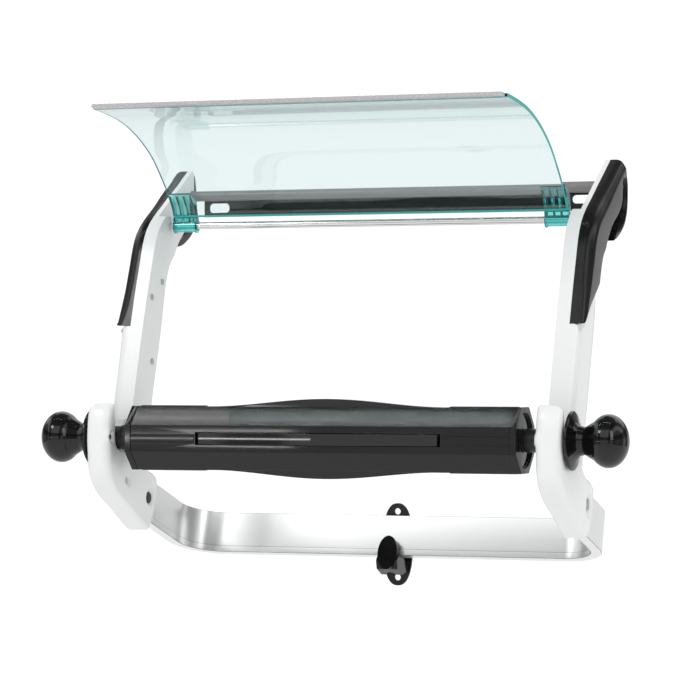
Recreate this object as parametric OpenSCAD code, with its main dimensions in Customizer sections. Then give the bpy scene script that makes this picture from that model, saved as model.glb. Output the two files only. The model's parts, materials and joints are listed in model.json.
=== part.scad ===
// Wall stand for a jumbo roll of wipers, with a lift-out core and a hinged tear guard.
// X runs along the wall to the right, Y into the wall, Z up. The wall is the plane Y = 0.
// The origin is midway between the two slotted screw holes of the wall rail.

/* [Frame] */
// Clear width between the two side uprights
inner_width = 458; // [420:2:500]
// Wall thickness of the moulded uprights and covers
shell = 3; // [2:0.5:4]
// Depth of the hollow band that joins the uprights
band_depth = 10; // [8:1:10]
// Height of the band's face
band_h = 45; // [38:1:46]
// Outer radius of the band's corners
band_corner = 50; // [30:5:60]

/* [Shaft] */
// Drop of the shaft axis below the rail's screw holes
shaft_drop = 254; // [253:0.5:255]
// Distance of the shaft axis from the wall
shaft_reach = 227; // [226:0.5:228]
// Size of the octagonal core tube across its flats
core_flats = 66; // [60:1:68]
// Height that the bow springs stand above the flats
bow_rise = 8.2; // [6:0.2:12]
// Diameter of the bushes that sit in the cradles
bush_d = 24; // [22:1:24]
// Diameter of the steel axle
axle_d = 16; // [12:1:16]
// Diameter of the ball knobs
knob_d = 54; // [45:1:60]

/* [Guard] */
// Width of the tear guard
guard_w = 444; // [400:2:446]
// Thickness of the guard sheet
guard_t = 4; // [3:0.5:4]
// Diameter of the hinge rod
rod_d = 8; // [6:1:8]

/* [Wall fixing] */
// Distance between the rail's two slotted holes
rail_pitch = 420; // [360:10:430]
// End-to-end length of a slotted hole
slot_l = 24; // [14:1:28]
// Width of a slotted hole
slot_w = 9; // [6:0.5:9]
// Distance between the lower bracket's screw holes
bracket_pitch = 72; // [66:1:76]
// Diameter of the lower bracket's screw holes
bracket_hole = 7; // [5:0.5:8]

/* [Hidden] */
$fn = 48;

fit = 0.05;               // radial play of a pin in its bore
gap = 0.3;                // play between parts that move past each other

// Stations across the width, from the middle of the stand outwards
x_web = inner_width / 2;            // inner face of an upright
x_recess = x_web + 9;               // inner face of an upright's hook
x_split = x_web + 14.5;             // where a hook cover meets its upright
x_side = x_web + 26;                // outer face of an upright
x_cover = x_web + 31;               // outer face of a hook cover
x_cradle = x_web + 2;               // inner face of a cradle
x_part = x_web + 16;                // parting plane of a cradle's two shells
x_cradle_out = x_web + 29;          // outer face of a cradle
x_band = x_web + 17;                // outer face of the band's arms
x_pocket = x_web + 6.8;             // inner wall of the pocket between the shells

// Points in the side view, as [Y, Z]
shaft = [-shaft_reach, -shaft_drop];
rod = [-99, -26.5];
bar = [-13.5, 12.5];
bar_d = 12;
bolt = [-151, -320.5];
upright_screws_at = [[-122, -88], [-150, -105], [-150, -174]];
cradle_screws_at = [[-253, -253], [-210, -300]];

front_line = [[-13, 41], [-78, 3], [-130, -31], [-153, -78], [-174, -136], [-200, -218], [-213, -262]];
rear_line = [[-168, -290], [-150, -219], [-126, -145], [-113, -96], [-101, -70], [-84, -56], [-66, -41]];
hook_back = [[-60, -47.5], [-46, -45.5], [-31, -40], [-14, -30], [-4, -16], [-1, 2], [-2, 18], [-6, 34]];
slot_path = [[-13.5, 12.5], [-14.5, -2], [-22, -16], [-38, -27.5], [-56, -36.5], [-73, -50], [-86, -66]];
cover_foot = [[-174, -136], [-166, -134], [-146, -118], [-126, -105], [-113, -96]];
cradle_front = [
    [-242, -218.5], [-250, -219], [-257, -230], [-260.5, -248], [-261.5, -268], [-258, -290],
    [-247, -306], [-229, -318.5], [-200, -333], [-174, -347.5], [-157, -355]
];
cradle_rear = [
    [-157, -355], [-151, -354.5], [-146, -349.5], [-138.5, -336], [-131, -315], [-128.4, -304.5],
    [-132.7, -298], [-142, -294], [-156, -289], [-172, -277], [-200, -252], [-212, -243], [-214, -243]
];
guard_line = [
    [-105, -17], [-109, -9], [-121.5, 6.5], [-137, 21.5], [-164, 43.5], [-190, 58],
    [-217, 69], [-250, 78], [-285, 83], [-318, 86]
];

band_tilt = 18;
band_at = [-10, -366.5];    // centre of the outer face of the band's cross bar, as [Y, Z]
band_reach = 178;          // length of an arm from the cross bar's outer face
band_wall = 2;

core_half = 205.5;         // half length of the core tube
cap_t = 7;                 // thickness of an end cap's flange
bow_half = 130;            // half length of a bow spring
bow_w = 12;
bow_t = 2.2;               // thickness of a bow spring's outer wall
bow_side = 1.6;            // thickness of its two side walls
bow_deep = 5;              // depth of its ends below the flat
rib_w = 8.4;
rib_h = 1;

// ---- Curves -------------------------------------------------------------

// Point at t between b and c on a smooth curve through a, b, c and d
function bend(a, b, c, d, t) =
    0.5 * (2 * b + (c - a) * t + (2 * a - 5 * b + 4 * c - d) * t * t + (3 * b - a - 3 * c + d) * t * t * t);

// Smooth open curve through a list of points
function curve(points, steps = 5) = [
    for (i = [0:len(points) - 2]) for (s = [0:steps - 1])
        bend(points[max(i - 1, 0)], points[i], points[i + 1],
             points[min(i + 2, len(points) - 1)], s / steps),
    points[len(points) - 1]
];

// A list without its first and last point
function inner_points(points) = [for (i = [1:len(points) - 2]) points[i]];

function reversed(points) = [for (i = [len(points) - 1:-1:0]) points[i]];

// Left-hand unit normal of a curve at its point i
function normal_at(points, i) =
    let (d = points[min(i + 1, len(points) - 1)] - points[max(i - 1, 0)]) [-d[1], d[0]] / norm(d);

// A curve moved sideways, to its left for a positive distance
function moved(points, distance) =
    [for (i = [0:len(points) - 1]) points[i] + distance * normal_at(points, i)];

// Outline of a strip with a curve as its centre line
function strip(points, width) = concat(moved(points, width / 2), reversed(moved(points, -width / 2)));

// ---- Placing ------------------------------------------------------------

// Extrudes a side view outline from x0 to x1
module slab(x0, x1) {
    translate([x0, 0, 0]) rotate([90, 0, 90]) linear_extrude(x1 - x0) children();
}

// Round bar along X through a point of the side view
module pin(at, d, x0, x1) {
    translate([x0, at[0], at[1]]) rotate([0, 90, 0]) cylinder(d = d, h = x1 - x0);
}

// Draws a part of the right-hand side on the left as well
module on_side(side) {
    if (side > 0) children();
    else mirror([1, 0, 0]) children();
}

module on_shaft() {
    translate([0, shaft[0], shaft[1]]) children();
}

// ---- Wall fixings -------------------------------------------------------

rail_t = 2.5;
rail_low = -12.5;
rail_top = 13;

module wall_rail() {
    color("#17181a") difference() {
        slab(-x_web + 1, x_web - 1) polygon([
            [0, rail_low], [-9, rail_low], [-9, rail_low + rail_t], [-rail_t, rail_low + rail_t],
            [-rail_t, rail_top - rail_t], [-7.4, rail_top - rail_t], [-7.4, rail_top], [0, rail_top]
        ]);
        for (x = [-rail_pitch / 2, rail_pitch / 2]) {
            for (end = [-1, 1])
                translate([x + end * (slot_l - slot_w) / 2, 1, 0]) rotate([90, 0, 0])
                    cylinder(d = slot_w, h = rail_t + 2);
            translate([x - (slot_l - slot_w) / 2, -rail_t - 1, -slot_w / 2])
                cube([slot_l - slot_w, rail_t + 2, slot_w]);
        }
    }
}

module hanger_bar() {
    color("#202224") pin(bar, bar_d, -x_cover + 4, x_cover - 4);
}

bracket_mid = [-5, -374];
bracket_w = 34;
bracket_h = 90;
bracket_t = 2.9;

// Oval with fuller shoulders than an ellipse
function oval(w, h, power = 2.4) = [
    for (a = [0:7.5:359]) [
        w / 2 * sign(cos(a)) * pow(abs(cos(a)), 2 / power),
        h / 2 * sign(sin(a)) * pow(abs(sin(a)), 2 / power)
    ]
];

module lower_wall_bracket() {
    color("#1b1c1e") difference() {
        union() {
            translate([0, 0, bracket_mid[1]]) rotate([90, 0, 0]) linear_extrude(bracket_t)
                polygon(oval(bracket_w, bracket_h));
            slab(-12, 12) polygon([
                [-1, -393.5], [-17.2, -388.7], [-33.6, -383.4], [-40.6, -389.5], [-38, -399], [-22, -406], [-1, -402]
            ]);
            translate([0, -33.2, -382.5]) rotate([90 - band_tilt, 0, 0]) linear_extrude(5)
                polygon(oval(22, 38, 2));
        }
        for (end = [-1, 1]) translate([0, 1, bracket_mid[1] + end * bracket_pitch / 2]) rotate([90, 0, 0]) {
            cylinder(d = bracket_hole, h = 60);
            translate([0, 0, 6]) cylinder(d = 2 * bracket_hole, h = 60);
        }
    }
}

// ---- Band ---------------------------------------------------------------

// Hollow section of the band: x outwards from the inner face, y up its height
module band_section(solid = false) {
    difference() {
        union() {
            translate([0, -band_h / 2]) square([band_depth, band_h]);
            translate([-1.6, -band_h / 2]) square([3, 7]);
        }
        if (!solid) translate([band_wall, -band_h / 2 + band_wall])
            square([band_depth - 2 * band_wall, band_h - 2 * band_wall]);
    }
}

module band_frame() {
    translate([0, band_at[0], band_at[1]]) rotate([-band_tilt, 0, 0]) children();
}

module band_arm(solid = false) {
    translate([x_band - band_depth, -band_corner, 0]) rotate([90, 0, 0])
        linear_extrude(band_reach - band_corner) band_section(solid);
}

module cross_band() {
    color("#c9cdcf") difference() {
        band_frame() {
            for (side = [-1, 1]) on_side(side) {
                band_arm();
                translate([x_band - band_corner, -band_corner, 0]) rotate_extrude(angle = 90)
                    translate([band_corner - band_depth, 0]) band_section();
            }
            translate([-x_band + band_corner, -band_depth, 0]) rotate([90, 0, 90])
                linear_extrude(2 * (x_band - band_corner)) band_section();
        }
        for (side = [-1, 1]) on_side(side) pin(bolt, 6.4, x_band - band_depth - 2, x_band + 1);
    }
}

// ---- Side frames --------------------------------------------------------

module hook_slot() {
    polygon(strip(curve(slot_path), bar_d + 0.6));
    translate(bar) circle(d = bar_d + 1.4);
}

// Everything on the wall's side of the slot, which is the beak of the hook
module beak_side() {
    polygon(concat([[20, 60], [-8, 60], [-9, 20]], curve(slot_path), [[20, -66]]));
}

// Everything between the front line and the rear line, without the beak
module upright_outline() {
    difference() {
        polygon(concat(curve(front_line), curve(rear_line), curve(hook_back)));
        hook_slot();
        beak_side();
    }
}

module cover_outline() {
    difference() {
        polygon(concat(
            curve([for (i = [0:4]) front_line[i]]), inner_points(curve(cover_foot)),
            curve([for (i = [3:6]) rear_line[i]]), curve(hook_back)
        ));
        hook_slot();
    }
}

// Hollow of an upright, open to the rear
module upright_hollow() {
    front = moved(curve([for (i = [2:5]) front_line[i]]), shell);
    polygon(concat(front, [[-140, -222], [-116, -145], [-98, -88], [-106, -52]]));
}

module upright_shell() {
    difference() {
        union() {
            slab(x_web, x_split) upright_outline();
            slab(x_split, x_side) difference() {
                upright_outline();
                polygon(concat([[-230, -136.3]], moved(curve(cover_foot), -0.3), [
                    [-90, -96], [50, -96], [50, 80], [-230, 80]
                ]));
            }
        }
        slab(x_web - 1, x_recess) polygon([[-140, -16], [20, -16], [20, 60], [-140, 60]]);
        slab(x_web + shell, x_side - shell) upright_hollow();
        slab(x_web - 1, x_side + 1) polygon(concat(
            moved(curve(cradle_rear), -0.2), [[-270, -243], [-270, -400]]
        ));
    }
}

module upright(side) {
    color("#f1f3f3") on_side(side) difference() {
        union() {
            upright_shell();
            for (at = upright_screws_at) pin(at, 9, x_web + shell - 0.5, x_split - 1);
            slab(x_pocket + 0.4, x_band - 0.2)
                polygon([[-207, -235], [-213, -262], [-212, -276], [-166, -290], [-150, -276], [-158, -250]]);
        }
        pin(rod, rod_d + 2 * fit, x_web - 1, x_web + shell + 2);
        for (at = upright_screws_at) pin(at, 3.7, x_web - 1, x_split);
    }
}

module hook_cover(side) {
    color("#1a1b1d") on_side(side) difference() {
        slab(x_recess, x_cover) cover_outline();
        slab(x_recess - 1, x_split + 0.1) difference() {
            translate([-200, -200]) square([220, 260]);
            beak_side();
        }
        slab(x_split, x_cover - shell)
            polygon([[-84, -14], [-126, -41], [-146, -80], [-165, -124], [-128, -100], [-119, -84], [-88, -52]]);
    }
}

module screws_upright(side) {
    color("#b9bdbf") on_side(side) for (at = upright_screws_at) {
        pin(at, 6.5, x_web - 1.2, x_web);
        pin(at, 3.6, x_web, x_split - 2);
    }
}

// ---- Cradles that carry the shaft ---------------------------------------

module cradle_outline() {
    difference() {
        polygon(concat(curve(cradle_front), inner_points(curve(cradle_rear)), [cradle_rear[len(cradle_rear) - 1]]));
        translate(shaft) circle(d = bush_d + 2 * gap);
        translate([shaft[0] - bush_d / 2 - gap, shaft[1]]) square([bush_d + 2 * gap, 60]);
    }
}

// Room between the two shells for the band's end and the upright's foot
module cradle_pocket() {
    slab(x_pocket, x_band + 0.2)
        polygon([[-207.5, -230], [-214, -262], [-213, -276.5], [-180, -287], [-150, -296], [-110, -296], [-110, -230]]);
    band_frame() translate([x_pocket, -band_reach - 1, -band_h / 2 - 0.2]) {
        cube([x_band + 0.2 - x_pocket, band_reach - 60, band_h + 0.4]);
        translate([-1.6, 0, 0]) cube([2, band_reach - 60, 7.4]);
    }
}

module cradle_inner(side) {
    color("#eef0f0") on_side(side) difference() {
        slab(x_cradle, x_part) cradle_outline();
        cradle_pocket();
        pin(bolt, 13, x_cradle - 1, x_cradle + 3.2);
        pin(bolt, 6.4, x_cradle, x_part + 1);
        for (at = cradle_screws_at) pin(at, 3.7, x_cradle - 1, x_part + 1);
        for (at = cradle_screws_at) pin(at, 6, x_cradle - 1, x_cradle + 2);
    }
}

module cradle_outer(side) {
    color("#f4f5f5") on_side(side) difference() {
        slab(x_part, x_cradle_out) cradle_outline();
        cradle_pocket();
        pin(bolt, 6.4, x_part - 1, x_cradle_out);
        pin(bolt, 12.6, x_cradle_out - 4.5, x_cradle_out + 1);
        for (at = cradle_screws_at) pin(at, 3.7, x_part - 1, x_cradle_out - 4);
    }
}

module screws_cradle(side) {
    color("#8d9193") on_side(side) for (at = cradle_screws_at) {
        pin(at, 5.6, x_cradle + 0.6, x_cradle + 2);
        pin(at, 3.6, x_cradle + 2, x_cradle_out - 5);
    }
}

module band_bolt(side) {
    color("#9da1a4") on_side(side) {
        pin(bolt, 6.2, x_cradle + 1, x_cradle_out - 4.5);
        difference() {
            pin(bolt, 11.6, x_cradle_out - 4.5, x_cradle_out - 1.6);
            translate([x_cradle_out - 2.6, bolt[0] - 1, bolt[1] - 8]) cube([3, 2, 16]);
        }
        translate([x_cradle + 0.4, bolt[0], bolt[1]]) rotate([0, 90, 0]) cylinder(d = 12, h = 2.8, $fn = 6);
    }
}

// ---- Tear guard ---------------------------------------------------------

module guard_rod() {
    color("#d5d8da") pin(rod, rod_d, -x_web - shell - 1.5, x_web + shell + 1.5);
}

module guard_sheet() {
    color("#7fd6cf", 0.6) slab(-guard_w / 2, guard_w / 2) polygon(strip(curve(guard_line), guard_t));
}

clip_w = 26;

module guard_clip(side) {
    clip_end = guard_w / 2 + 1;
    sheet_line = curve(guard_line);
    foot = [for (i = [0:10]) sheet_line[i]];
    color("#35b3ab", 0.8) on_side(side) difference() {
        union() {
            slab(clip_end - clip_w, clip_end) polygon(concat(
                moved(foot, -guard_t / 2 - 0.05), reversed(moved(foot, -guard_t / 2 - 2.2))
            ));
            for (i = [0:3]) {
                x = clip_end - clip_w + i * (clip_w - 2) / 3;
                slab(x, x + 2) polygon(concat(
                    moved(foot, -guard_t / 2 - 1), [[-112, 6], [-100, 0], [-94.5, -22], [-103, -26]]
                ));
            }
            pin(rod, 13.5, clip_end - clip_w, clip_end);
            for (x = [clip_end - clip_w, clip_end - 1.5]) pin(rod, 16, x, x + 1.5);
            slab(clip_end - clip_w, clip_end) polygon([
                [-106.7, -18.5], [-103.2, -26], [-96, -21], [-99.5, -13.5], [-102.4, -16.5]
            ]);
        }
        pin(rod, rod_d + 2 * fit, 0, x_web + 5);
    }
}

strip_l = 13;
tooth = 6;

module tear_strip() {
    tip = guard_line[len(guard_line) - 1];
    teeth = round((guard_w - 6) / tooth);
    half = teeth * tooth / 2;
    color("#b9b6b8") translate([0, tip[0], tip[1]]) rotate([-5, 0, 0]) difference() {
        translate([0, 0, -guard_t / 2 - 1]) linear_extrude(guard_t + 2) polygon(concat(
            [[half, 4], [-half, 4], [-half, -strip_l + 2]],
            [for (i = [0:teeth - 1]) each [
                [-half + (i + 0.5) * tooth, -strip_l], [-half + (i + 1) * tooth, -strip_l + 2]
            ]]
        ));
        translate([-half - 1, -0.2, -guard_t / 2 - 0.1]) cube([2 * half + 2, 10, guard_t + 0.2]);
    }
}

// ---- Shaft --------------------------------------------------------------

bush_x0 = x_web - 15.5;

module bush(side) {
    color("#232527") on_side(side) difference() {
        union() {
            pin(shaft, bush_d, bush_x0, x_cradle_out - 0.4);
            pin(shaft, bush_d + 2, x_web - 2.3, x_web - 0.3);
        }
        pin(shaft, axle_d + 2 * fit, bush_x0 - 1, x_cradle_out + 1);
    }
}

module axle() {
    color("#b4b8bb") pin(shaft, axle_d, -x_web - 46, x_web + 46);
}

module octagon(flats) {
    rotate(22.5) circle(d = flats / cos(22.5), $fn = 8);
}

// Draws a part once for each of the four main flats
module on_flats() {
    for (turn = [0:90:270]) rotate([turn, 0, 0]) children();
}

module core_tube() {
    color("#1c1d1f") on_shaft() difference() {
        union() {
            translate([-core_half, 0, 0]) rotate([90, 0, 90]) linear_extrude(2 * core_half) octagon(core_flats);
            on_flats() for (x = [-core_half, bow_half + 4])
                translate([x, -rib_w / 2, core_flats / 2 - 1])
                    cube([core_half - bow_half - 4, rib_w, 1 + rib_h]);
        }
        translate([-core_half - 1, 0, 0]) rotate([90, 0, 90])
            linear_extrude(2 * core_half + 2) octagon(core_flats - 2 * shell);
        on_flats() translate([-bow_half - 3, -bow_w / 2 - 0.4, 0])
            cube([2 * bow_half + 6, bow_w + 0.8, core_flats]);
    }
}

module end_cap(side) {
    color("#141516") on_side(side) on_shaft() difference() {
        union() {
            translate([core_half, 0, 0]) rotate([90, 0, 90]) linear_extrude(cap_t) octagon(core_flats + 1);
            translate([core_half - 14, 0, 0]) rotate([90, 0, 90])
                linear_extrude(15) octagon(core_flats - 2 * shell - 0.2);
        }
        translate([core_half - 15, 0, 0]) rotate([0, 90, 0]) cylinder(d = axle_d + 2 * fit, h = cap_t + 20);
        translate([core_half + cap_t - 3, 0, 0]) rotate([0, 90, 0]) difference() {
            cylinder(d = core_flats - 10, h = 4);
            cylinder(d = axle_d + 8, h = 9, center = true);
        }
    }
}

// Height of a bow spring's outer face at the station x
function bow(x) = core_flats / 2 + bow_rise * pow(cos(90 * x / bow_half), 2);

module bow_spring(turn) {
    stations = [for (i = [-10:10]) i * bow_half / 10];
    short = [for (i = [-9:9]) i * bow_half / 10];
    low = core_flats / 2 - bow_deep;
    color("#26282a") on_shaft() rotate([turn, 0, 0]) rotate([90, 0, 0]) difference() {
        linear_extrude(bow_w, center = true) polygon(concat(
            [for (x = stations) [x, bow(x)]], [[bow_half, low], [-bow_half, low]]
        ));
        linear_extrude(bow_w - 2 * bow_side, center = true) polygon(concat(
            [for (x = short) [x, bow(x) - bow_t]], [[0.9 * bow_half, low - 1], [-0.9 * bow_half, low - 1]]
        ));
    }
}

ball_l = 41;

module knob(side) {
    // Radius of the ball against the distance from the stand's middle
    x_end = x_web + 90.5;
    x_ball = x_end - ball_l / 2;
    ball = [for (a = [-42:6:90]) [knob_d / 2 * cos(a), x_ball + ball_l / 2 * sin(a)]];
    flange = [
        [0, x_cradle_out + 1.5], [27, x_cradle_out + 1.5], [30, x_cradle_out + 2.8], [30, x_cradle_out + 4.6],
        [27.5, x_cradle_out + 6], [20, x_cradle_out + 8], [15.5, x_cradle_out + 11.5], [14, x_cradle_out + 17]
    ];
    color("#131415") on_side(side) difference() {
        on_shaft() rotate([0, 90, 0]) rotate_extrude() polygon(concat(flange, ball));
        pin(shaft, axle_d + 0.02, x_cradle_out, x_web + 46);
    }
}

wall_rail();
hanger_bar();
lower_wall_bracket();
cross_band();
upright(-1);  // left_upright
upright(1);  // right_upright
hook_cover(-1);  // left_hook_cover
hook_cover(1);  // right_hook_cover
screws_upright(-1);  // left_upright_screws
screws_upright(1);  // right_upright_screws
cradle_inner(-1);  // left_cradle_inner
cradle_outer(-1);  // left_cradle_outer
cradle_inner(1);  // right_cradle_inner
cradle_outer(1);  // right_cradle_outer
screws_cradle(-1);  // left_cradle_screws
screws_cradle(1);  // right_cradle_screws
band_bolt(-1);  // left_band_bolt
band_bolt(1);  // right_band_bolt
guard_rod();
guard_sheet();
guard_clip(-1);  // left_guard_clip
guard_clip(1);  // right_guard_clip
tear_strip();
bush(-1);  // left_bush
bush(1);  // right_bush
axle();
core_tube();
end_cap(-1);  // left_end_cap
end_cap(1);  // right_end_cap
bow_spring(0);  // top_bow_spring
bow_spring(90);  // front_bow_spring
bow_spring(180);  // bottom_bow_spring
bow_spring(270);  // back_bow_spring
knob(-1);  // left_knob
knob(1);  // right_knob
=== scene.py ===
"""Looks of the wall stand for a jumbo paper roll.

Each CAD part is shown by a finished copy with moulded roundings and its own material, in a pale
room whose reflections change with height and to the sides.
"""
import json
import math

import bmesh
import bpy
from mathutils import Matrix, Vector
from mathutils.geometry import tessellate_polygon


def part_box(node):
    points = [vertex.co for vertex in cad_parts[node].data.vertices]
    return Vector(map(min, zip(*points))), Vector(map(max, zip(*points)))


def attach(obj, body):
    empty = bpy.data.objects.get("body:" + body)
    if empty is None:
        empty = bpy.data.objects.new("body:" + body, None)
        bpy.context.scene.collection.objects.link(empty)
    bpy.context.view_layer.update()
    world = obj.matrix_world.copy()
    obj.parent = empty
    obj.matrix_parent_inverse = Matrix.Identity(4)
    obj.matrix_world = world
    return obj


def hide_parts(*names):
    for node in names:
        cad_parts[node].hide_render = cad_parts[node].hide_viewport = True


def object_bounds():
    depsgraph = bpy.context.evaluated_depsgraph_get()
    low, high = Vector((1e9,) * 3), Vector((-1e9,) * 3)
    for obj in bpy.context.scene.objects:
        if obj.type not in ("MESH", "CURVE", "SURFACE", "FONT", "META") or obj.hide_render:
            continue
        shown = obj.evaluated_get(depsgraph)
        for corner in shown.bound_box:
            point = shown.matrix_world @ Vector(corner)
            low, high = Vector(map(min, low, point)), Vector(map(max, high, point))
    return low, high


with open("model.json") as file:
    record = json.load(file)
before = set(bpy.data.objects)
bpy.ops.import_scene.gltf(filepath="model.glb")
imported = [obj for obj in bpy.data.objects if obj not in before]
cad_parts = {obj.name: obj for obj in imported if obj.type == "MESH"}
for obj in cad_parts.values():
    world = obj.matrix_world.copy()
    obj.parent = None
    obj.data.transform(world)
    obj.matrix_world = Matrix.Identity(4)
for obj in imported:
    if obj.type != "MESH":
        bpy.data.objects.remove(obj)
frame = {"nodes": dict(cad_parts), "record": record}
cad_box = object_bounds()
MM = 0.001
SIDES = ("left", "right")
SPRINGS = ("top", "front", "bottom", "back")
BODY = {node: body for body, nodes in frame["record"]["behaviour"]["bodies"].items() for node in nodes}


# ---- Materials ----------------------------------------------------------

def new_material(name, color, **sockets):
    """A material with one Principled shader, its node tree and the shader itself."""
    material = bpy.data.materials.new(name)
    material.use_nodes = True
    shader = material.node_tree.nodes["Principled BSDF"]
    shader.inputs["Base Color"].default_value = (*color, 1)
    for socket, value in sockets.items():
        shader.inputs[socket.replace("_", " ")].default_value = value
    return material, material.node_tree, shader


def add(tree, kind, **values):
    """A new node; each value goes to the input of that name, or else to the node's own setting."""
    node = tree.nodes.new(kind)
    for name, value in values.items():
        if name in node.inputs:
            node.inputs[name].default_value = value
        else:
            setattr(node, name, value)
    return node


def noise(tree, scale, stretch=(1, 1, 1)):
    """Noise in the object's own space, so it stays on the part when it moves."""
    place = add(tree, "ShaderNodeTexCoord")
    mapping = add(tree, "ShaderNodeMapping", Scale=stretch)
    texture = add(tree, "ShaderNodeTexNoise", Scale=scale, Detail=4.0)
    tree.links.new(place.outputs["Object"], mapping.inputs["Vector"])
    tree.links.new(mapping.outputs["Vector"], texture.inputs["Vector"])
    return texture.outputs["Fac"]


def spread(tree, value, low, high):
    """Noise, which stays mostly between 0.3 and 0.7, turned into the range from low to high."""
    ramp = add(tree, "ShaderNodeMapRange")
    ramp.inputs["From Min"].default_value = 0.3
    ramp.inputs["From Max"].default_value = 0.7
    ramp.inputs["To Min"].default_value = low
    ramp.inputs["To Max"].default_value = high
    tree.links.new(value, ramp.inputs["Value"])
    return ramp.outputs["Result"]


def bump(tree, shader, value, distance):
    node = add(tree, "ShaderNodeBump", Strength=1.0, Distance=distance)
    tree.links.new(value, node.inputs["Height"])
    tree.links.new(node.outputs["Normal"], shader.inputs["Normal"])


GLOSS_SCALE = 60.0
GRAIN_SCALE = 900.0
LINE_SCALE = 300.0
CLEAR_SCALE = 25.0
ACRYLIC_IOR = 1.49


def plastic(name, color, roughness, vary=0.03, grain=0.00001, **sockets):
    """Moulded plastic: slightly uneven gloss and a fine moulding grain."""
    material, tree, shader = new_material(name, color, **sockets)
    gloss = spread(tree, noise(tree, GLOSS_SCALE), roughness - vary, roughness + vary)
    tree.links.new(gloss, shader.inputs["Roughness"])
    bump(tree, shader, noise(tree, GRAIN_SCALE), grain)
    return material


def metal(name, color, roughness, stretch, lines=0.00001, vary=0.03, **sockets):
    """Drawn or plated metal, with fine lines along one axis."""
    material, tree, shader = new_material(name, color, **{"Metallic": 1.0, **sockets})
    value = noise(tree, LINE_SCALE, stretch)
    tree.links.new(spread(tree, value, roughness - vary, roughness + vary), shader.inputs["Roughness"])
    bump(tree, shader, value, lines)
    return material


def clear(name, color, depth_color, density, roughness=0.02):
    """Clear plastic with its tint in the depth, so that edges look darker than faces."""
    material, tree, shader = new_material(name, color, Transmission_Weight=1.0, IOR=ACRYLIC_IOR)
    gloss = spread(tree, noise(tree, CLEAR_SCALE), roughness * 0.5, roughness * 1.5)
    tree.links.new(gloss, shader.inputs["Roughness"])
    depth = add(tree, "ShaderNodeVolumeAbsorption", Color=(*depth_color, 1), Density=density)
    tree.links.new(depth.outputs["Volume"], tree.nodes["Material Output"].inputs["Volume"])
    return material


ALONG_X = (0.02, 1, 1)
EVENLY = (1, 1, 1)
WHITE = plastic("white_plastic", (0.84, 0.85, 0.85), 0.24)
CRADLE = plastic("cradle_plastic", (0.86, 0.87, 0.87), 0.22)
COVER = plastic("cover_plastic", (0.006, 0.0063, 0.007), 0.2, Specular_IOR_Level=0.35)
RAIL = plastic("rail_paint", (0.01, 0.01, 0.011), 0.2)
BAR = plastic("bar_paint", (0.24, 0.23, 0.235), 0.3)
BRACKET = plastic("bracket_plastic", (0.005, 0.005, 0.0055), 0.14, Specular_IOR_Level=0.35)
CORE = plastic("core_plastic", (0.009, 0.009, 0.0095), 0.055, vary=0.006, grain=0.0000001,
               Specular_IOR_Level=0.3)
SPRING = plastic("spring_plastic", (0.01, 0.01, 0.011), 0.04, vary=0.006, grain=0.0000001)
KNOB = plastic("knob_plastic", (0.004, 0.004, 0.0045), 0.06, grain=0.000001)
BUSH = plastic("bush_plastic", (0.018, 0.018, 0.019), 0.35)
BAND = metal("band_aluminium", (0.93, 0.94, 0.94), 0.3, ALONG_X, lines=0.000003, vary=0.02, Metallic=0.88)
# Dark teal-grey for the band's upward faces: painted reflection of the dark surroundings and the teal
# guard, not a colour of the metal
BAND_TOP_PAINTED_REFLECTION = metal("band_top_painted_reflection", (0.06, 0.08, 0.08), 0.3, ALONG_X)
CHROME = metal("rod_chrome", (0.84, 0.81, 0.82), 0.06, ALONG_X, lines=0.000002, vary=0.02)
STEEL = metal("screw_steel", (0.6, 0.61, 0.62), 0.3, EVENLY)
# Near-black for the band bolt's inner part: painted shade of the deep recess it sits in; only the head,
# farther out, shows steel
BOLT_IN_PAINTED_SHADE = plastic("bolt_steel", (0.014, 0.014, 0.015), 0.4)
GUARD = clear("guard_tint", (0.96, 0.99, 0.99), (0.02, 0.82, 0.8), 24.0)
GUARD_EDGE = plastic("guard_edge", (0.02, 0.4, 0.38), 0.12)
CLIP = clear("clip_tint", (0.45, 0.93, 0.91), (0.02, 0.8, 0.78), 120.0, 0.04)
STRIP = plastic("strip_clear", (0.74, 0.71, 0.72), 0.25, Transmission_Weight=0.35)

FINISH = {
    "wall_rail": RAIL, "hanger_bar": BAR, "lower_wall_bracket": BRACKET, "cross_band": BAND,
    "guard_rod": CHROME, "guard_sheet": GUARD, "tear_strip": STRIP, "axle": STEEL, "core_tube": CORE,
}
for side in SIDES:
    FINISH[side + "_upright"] = WHITE
    FINISH[side + "_hook_cover"] = COVER
    FINISH[side + "_upright_screws"] = STEEL
    FINISH[side + "_cradle_inner"] = CRADLE
    FINISH[side + "_cradle_outer"] = CRADLE
    FINISH[side + "_cradle_screws"] = STEEL
    FINISH[side + "_band_bolt"] = BOLT_IN_PAINTED_SHADE
    FINISH[side + "_guard_clip"] = CLIP
    FINISH[side + "_bush"] = BUSH
    FINISH[side + "_end_cap"] = CORE
    FINISH[side + "_knob"] = KNOB
for place in SPRINGS:
    FINISH[place + "_bow_spring"] = SPRING


# ---- Finished copies of the parts ---------------------------------------

def rim_loops(faces):
    """The closed rims of a flat group of faces, the longest first."""
    inside = set(faces)
    after = {}
    for face in faces:
        for loop in face.loops:
            if not any(other in inside for other in loop.edge.link_faces if other is not face):
                after[loop.vert] = loop.link_loop_next.vert
    rims = []
    while after:
        vert = next(iter(after))
        rim = []
        while vert in after:
            rim.append(vert)
            vert = after.pop(vert)
        rims.append(rim)
    return sorted(rims, key=len, reverse=True)


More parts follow.
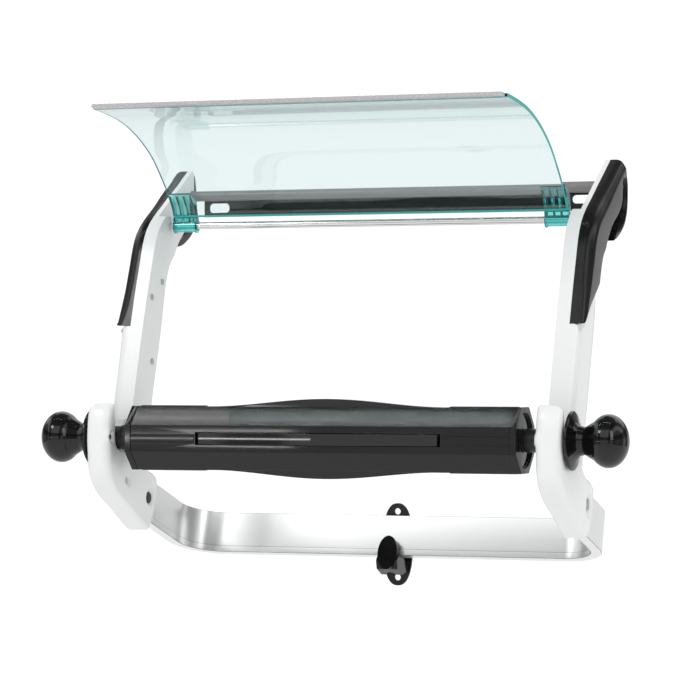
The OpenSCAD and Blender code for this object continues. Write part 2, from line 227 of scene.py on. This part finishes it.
PARALLEL = 1e-12      # a smaller cross product means that two directions are parallel
NEXT_TO_START = 5e-4  # in m; a nearer hit is the outline beside the starting point
OVERSHOOT = 0.001     # by what share of its length a segment may be missed
FLAT_WITHIN = 4e-5    # in m; how far from its plane a point of a flat face may lie
DEPTH_SHARE = 0.42    # how much of the width of a part the rounding of one side may take
LEAST_STRETCH = 0.6   # keeps the rounding from reaching too far in at sharp corners
CROWN_STEPS = 6


def ray_depth(start, direction, segments):
    """Distance from a point of an outline to the outline's far side."""
    best = 1.0
    for a, b in segments:
        edge = b - a
        cross = direction.x * edge.y - direction.y * edge.x
        if abs(cross) < PARALLEL:
            continue
        away = a - start
        distance = (away.x * edge.y - away.y * edge.x) / cross
        share = (away.x * direction.y - away.y * direction.x) / cross
        if distance > NEXT_TO_START and -OVERSHOOT <= share <= 1 + OVERSHOOT:
            best = min(best, distance)
    return best


def inward_normals(points, turn):
    """For each point of a closed outline, the direction inwards and how far a corner stretches it."""
    normals = []
    for i, point in enumerate(points):
        before = (point - points[i - 1]).normalized()
        beyond = (points[(i + 1) % len(points)] - point).normalized()
        normal = Vector((-before.y - beyond.y, before.x + beyond.x)) * turn
        normal.normalize()
        stretch = max(LEAST_STRETCH, abs(Vector((-before.y, before.x)).dot(normal)))
        normals.append((normal, stretch))
    return normals


def averaged(values):
    """Each value of a closed row, averaged with its neighbours."""
    return [(values[i - 1] + 2 * values[i] + values[(i + 1) % len(values)]) / 4 for i in range(len(values))]


def rounded_rows(bm, x, rim, points, radius, outward_x, segments):
    """The rows of a rounding, from a rim on the flat face at x to the edge of the smaller flat."""
    inward = inward_normals(points, outward_x)
    drops = [radius(-normal) for normal, _ in inward]
    sizes = [min(drop, DEPTH_SHARE * ray_depth(point, normal, segments))
             for drop, point, (normal, _) in zip(drops, points, inward)]
    for _ in range(3):
        sizes = [min(size, mean) for size, mean in zip(sizes, averaged(sizes))]
        drops = averaged(drops)
    rows = [rim]
    for step in range(1, CROWN_STEPS + 1):
        angle = math.pi / 2 * step / CROWN_STEPS
        row = []
        for point, (normal, stretch), size, drop in zip(points, inward, sizes, drops):
            place = point + normal * (size * (1 - math.cos(angle)) / stretch)
            row.append(bm.verts.new((x - outward_x * drop * (1 - math.sin(angle)), place.x, place.y)))
        rows.append(row)
    for vert, drop in zip(rim, drops):
        vert.co.x = x - outward_x * drop
    return rows


def crown(bm, x, radius):
    """Rounds the rim of the flat face at x; radius(outward) gives the rounding at each point."""
    cap = [f for f in bm.faces if all(abs(v.co.x - x) < FLAT_WITHIN for v in f.verts)]
    sign = 1 if x > 0 else -1
    outward_x = sign if sum(f.normal.x * f.calc_area() for f in cap) * sign > 0 else -sign
    rims = rim_loops(cap)
    outlines = [[Vector((v.co.y, v.co.z)) for v in rim] for rim in rims]
    segments = [(points[i - 1], points[i]) for points in outlines for i in range(len(points))]
    tops = []
    for rim, points in zip(rims, outlines):
        rows = rounded_rows(bm, x, rim, points, radius, outward_x, segments)
        for low, high in zip(rows, rows[1:]):
            for i in range(len(rim)):
                bm.faces.new((low[i - 1], low[i], high[i], high[i - 1]))
        tops.append(rows[-1])
    bmesh.ops.delete(bm, geom=cap, context="FACES_ONLY")
    verts = [v for row in tops for v in row]
    for triangle in tessellate_polygon([[Vector((v.co.y, v.co.z, 0)) for v in row] for row in tops]):
        bm.faces.new([verts[i] for i in triangle])


MERGE_WITHIN = 1e-5
SAME_PLANE = math.radians(0.5)
SHARP_EDGE = math.radians(30)


def finished(name, edge, segments=2, crown_at=None, rim=None):
    """A copy of a CAD part with edges rounded by so many mm, which is shown in the part's place.

    The flat face at x = crown_at, if one is named, rolls over by what rim gives.
    """
    bm = bmesh.new()
    bm.from_mesh(frame["nodes"][name].data)
    bmesh.ops.remove_doubles(bm, verts=bm.verts, dist=MERGE_WITHIN)
    bmesh.ops.dissolve_limit(bm, angle_limit=SAME_PLANE, verts=bm.verts, edges=bm.edges)
    if rim:
        crown(bm, crown_at, rim)
    bmesh.ops.recalc_face_normals(bm, faces=bm.faces)
    for face in bm.faces:
        face.smooth = True
    mesh = bpy.data.meshes.new(name + "_finished")
    bm.to_mesh(mesh)
    bm.free()
    piece = bpy.data.objects.new(name + "_finished", mesh)
    bpy.context.scene.collection.objects.link(piece)
    mesh.materials.append(FINISH[name])
    bevel = piece.modifiers.new("edges", "BEVEL")
    bevel.width = edge * MM
    bevel.segments = segments
    bevel.limit_method = "ANGLE"
    bevel.angle_limit = SHARP_EDGE
    normals = piece.modifiers.new("normals", "WEIGHTED_NORMAL")
    normals.keep_sharp = True
    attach(piece, BODY[name])
    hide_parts(name)
    return piece


def second_material(piece, material, chosen, edges_too=False):
    """Gives the chosen faces another material, and the rounded edges as well if asked."""
    piece.data.materials.append(material)
    for face in piece.data.polygons:
        if chosen(face):
            face.material_index = 1
    if edges_too:
        piece.modifiers["edges"].material = 1


def outer_horn_rim(outward):
    """The cradle's outer shell rolls over most along its front and top."""
    return (7 + 5 * max(0, -outward.x, outward.y)) * MM


def upright_rim(outward):
    """Large rounding along the front, small along the rear."""
    return (5.5 - 6.5 * outward.x) * MM


def inner_horn_rim(outward):
    """The cradle's inner shell rolls over most along its front."""
    return (3.5 + 6.5 * max(0, -outward.x)) * MM


def cover_rim(outward):
    """The cover is crowned: its front and top roll over far more than its rear."""
    front = max(0, -outward.x * 0.8 + outward.y * 0.9)
    return (5 + 9 * min(1, front)) * MM


# The flat sides that roll over, as distances from the middle of the stand in mm
UPRIGHT_SIDE = 255
COVER_SIDE = 260
CRADLE_INNER_SIDE = 231
CRADLE_OUTER_SIDE = 258

BOLT_HEAD_FROM = 250 * MM      # a band bolt's head lies farther out than this
GUARD_FOOT_BELOW = -15.5 * MM  # the edge of the guard's foot lies lower than this
STRIP_HEIGHT_SHARE = 0.6       # height of the finished tear strip, as a share of its CAD part's
MOSTLY_UP = 0.8                # a face whose normal has more than this in z is an upper edge
MOSTLY_ASIDE = 0.9             # the same in x, for the ends of the guard


def thinned(piece, name, share):
    """Scales a piece in height about the middle of its CAD part."""
    low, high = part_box(name)
    middle = (low[2] + high[2]) / 2
    for vert in piece.data.vertices:
        vert.co.z = middle + share * (vert.co.z - middle)


for name in ("wall_rail", "hanger_bar", "guard_rod", "axle"):
    finished(name, 0.5)
finished("lower_wall_bracket", 1.8, 4)
# The band's upward faces and their rounded edges get the dark teal-grey painted reflection
second_material(finished("cross_band", 1.2), BAND_TOP_PAINTED_REFLECTION,
                lambda face: face.normal.z > MOSTLY_UP, edges_too=True)
second_material(finished("guard_sheet", 0.6), GUARD_EDGE,
                lambda face: abs(face.normal.x) > MOSTLY_ASIDE or face.center.z < GUARD_FOOT_BELOW,
                edges_too=True)
thinned(finished("tear_strip", 0.2, 1), "tear_strip", STRIP_HEIGHT_SHARE)
finished("core_tube", 0.35)
for place in SPRINGS:
    finished(place + "_bow_spring", 0.6)
for side in SIDES:
    outward_mm = MM if side == "right" else -MM
    finished(side + "_upright", 0.5, crown_at=outward_mm * UPRIGHT_SIDE, rim=upright_rim)
    finished(side + "_hook_cover", 0.5, crown_at=outward_mm * COVER_SIDE, rim=cover_rim)
    finished(side + "_cradle_inner", 0.3, crown_at=outward_mm * CRADLE_INNER_SIDE, rim=inner_horn_rim)
    finished(side + "_cradle_outer", 0.3, crown_at=outward_mm * CRADLE_OUTER_SIDE, rim=outer_horn_rim)
    for part in ("upright_screws", "cradle_screws", "bush"):
        finished(side + "_" + part, 0.3)
    # The bolt is near-black as painted recess shade, except for its steel head
    second_material(finished(side + "_band_bolt", 0.3), STEEL,
                    lambda face: abs(face.center.x) > BOLT_HEAD_FROM)
    finished(side + "_guard_clip", 0.25, 1)
    finished(side + "_end_cap", 0.8)
    finished(side + "_knob", 0.5)


# ---- Light, floor and camera -------------------------------------------

def area_light(name, place, target, size, power):
    """A rectangular lamp at a place, turned to its target."""
    data = bpy.data.lights.new(name, "AREA")
    data.shape = "RECTANGLE"
    data.size, data.size_y = size
    data.energy = power
    light = bpy.data.objects.new(name, data)
    light.location = place
    light.rotation_euler = (Vector(target) - Vector(place)).to_track_quat("-Z", "Y").to_euler()
    bpy.context.scene.collection.objects.link(light)


# Brightness of the room for reflections, against height from straight down (0) to straight up (1)
ROOM = [
    (0.0, 0.5), (0.3, 0.5), (0.42, 0.7), (0.5, 0.8), (0.54, 0.45), (0.6, 0.22), (0.64, 0.25), (0.67, 1.1),
    (0.86, 1.1), (0.89, 0.2), (0.93, 0.16), (1.0, 0.12)
]
# Share of that brightness, against how far the direction points to either side
SIDEWAYS = [
    (0.0, 1.0), (0.44, 1.0), (0.52, 0.25), (0.66, 0.3), (0.74, 1.1), (0.82, 1.1), (0.88, 0.35), (1.0, 0.6)
]
AMBIENT = 0.92       # brightness of the room as light
BEHIND_CLEAR = 0.96  # as seen through the clear parts
BACKDROP = 1.1       # as seen directly


def response(tree, value, points):
    """A value looked up on a curve through the given points."""
    node = add(tree, "ShaderNodeFloatCurve")
    node.mapping.use_clip = False
    curve = node.mapping.curves[0]
    curve.points[0].location = points[0]
    curve.points[1].location = points[-1]
    for at in points[1:-1]:
        curve.points.new(*at)
    node.mapping.update()
    tree.links.new(value, node.inputs["Value"])
    return node.outputs["Value"]


def math_node(tree, operation, *values):
    """The result of an operation on one or two values of other nodes."""
    node = add(tree, "ShaderNodeMath", operation=operation)
    for value, socket in zip(values, node.inputs):
        tree.links.new(value, socket)
    return node.outputs["Value"]


def mix(tree, factor, first, second):
    """The second value where factor is 1, and the first where it is 0."""
    node = add(tree, "ShaderNodeMix")
    tree.links.new(factor, node.inputs["Factor"])
    for socket, value in (("A", first), ("B", second)):
        if isinstance(value, float):
            node.inputs[socket].default_value = value
        else:
            tree.links.new(value, node.inputs[socket])
    return node.outputs["Result"]


def build_world():
    """An even, pale room, which only reflections see as darker and brighter zones."""
    world = bpy.data.worlds.new("studio")
    bpy.context.scene.world = world
    world.use_nodes = True
    tree = world.node_tree
    tree.nodes.clear()
    place = add(tree, "ShaderNodeTexCoord")
    split = add(tree, "ShaderNodeSeparateXYZ")
    tree.links.new(place.outputs["Generated"], split.inputs["Vector"])
    height = add(tree, "ShaderNodeMapRange")
    height.inputs["From Min"].default_value = -1
    tree.links.new(split.outputs["Z"], height.inputs["Value"])
    upward = response(tree, height.outputs["Result"], ROOM)
    sideways = response(tree, math_node(tree, "ABSOLUTE", split.outputs["X"]), SIDEWAYS)
    room = math_node(tree, "MULTIPLY", upward, sideways)
    path = add(tree, "ShaderNodeLightPath")
    is_mirrored = math_node(tree, "SUBTRACT", path.outputs["Glossy Depth"], path.outputs["Diffuse Depth"])
    light = mix(tree, path.outputs["Is Transmission Ray"], AMBIENT, BEHIND_CLEAR)
    light = mix(tree, is_mirrored, light, room)
    light = mix(tree, path.outputs["Is Camera Ray"], light, BACKDROP)
    background = add(tree, "ShaderNodeBackground", Color=(1, 1, 1, 1))
    tree.links.new(light, background.inputs["Strength"])
    tree.links.new(background.outputs["Background"], add(tree, "ShaderNodeOutputWorld").inputs["Surface"])


FLOOR_SIZE = 9
FLOOR_BELOW = 0.7  # how far the floor lies under the stand, in m


def build_stage():
    build_world()
    area_light("key", (-1.4, -1.9, 1.5), (0, -0.2, -0.15), (0.9, 0.5), 10)
    area_light("fill", (1.7, -1.2, 0.5), (0, -0.2, -0.2), (0.5, 1.2), 4)
    # Thin tubes that draw bright lines along the core's flats and dots on the knobs
    for y, width, power in ((-0.268, 0.003, 0.6), (-0.284, 0.007, 1.0), (-0.299, 0.003, 0.5)):
        area_light("tube", (-0.6, y, 1.5), (-0.6, y, 0), (3.2, width), power)
    area_light("front_tube", (-1.55, -3.0, -0.32), (-0.2, -0.25, -0.25), (0.9, 0.02), 0.9)
    bpy.ops.mesh.primitive_plane_add(size=FLOOR_SIZE, location=(0, 0, cad_box[0][2] - FLOOR_BELOW))
    floor = bpy.context.object
    floor.name = "floor"
    floor.data.materials.append(new_material("floor_white", (0.9, 0.9, 0.9), Roughness=0.8)[0])


LENS = 168.84
SENSOR_WIDTH = 36
CAMERA_PLACE = (1.1234, -3.2816, -0.181)
CAMERA_TILT = math.radians(90.55)
CAMERA_TURN = math.radians(20)


def build_camera():
    data = bpy.data.cameras.new("camera")
    data.lens = LENS
    data.sensor_width = SENSOR_WIDTH
    camera = bpy.data.objects.new("camera", data)
    camera.location = CAMERA_PLACE
    camera.rotation_euler = (CAMERA_TILT, 0, CAMERA_TURN)
    bpy.context.scene.collection.objects.link(camera)
    bpy.context.scene.camera = camera


build_stage()
build_camera()
bpy.context.scene.view_settings.view_transform = "Standard"
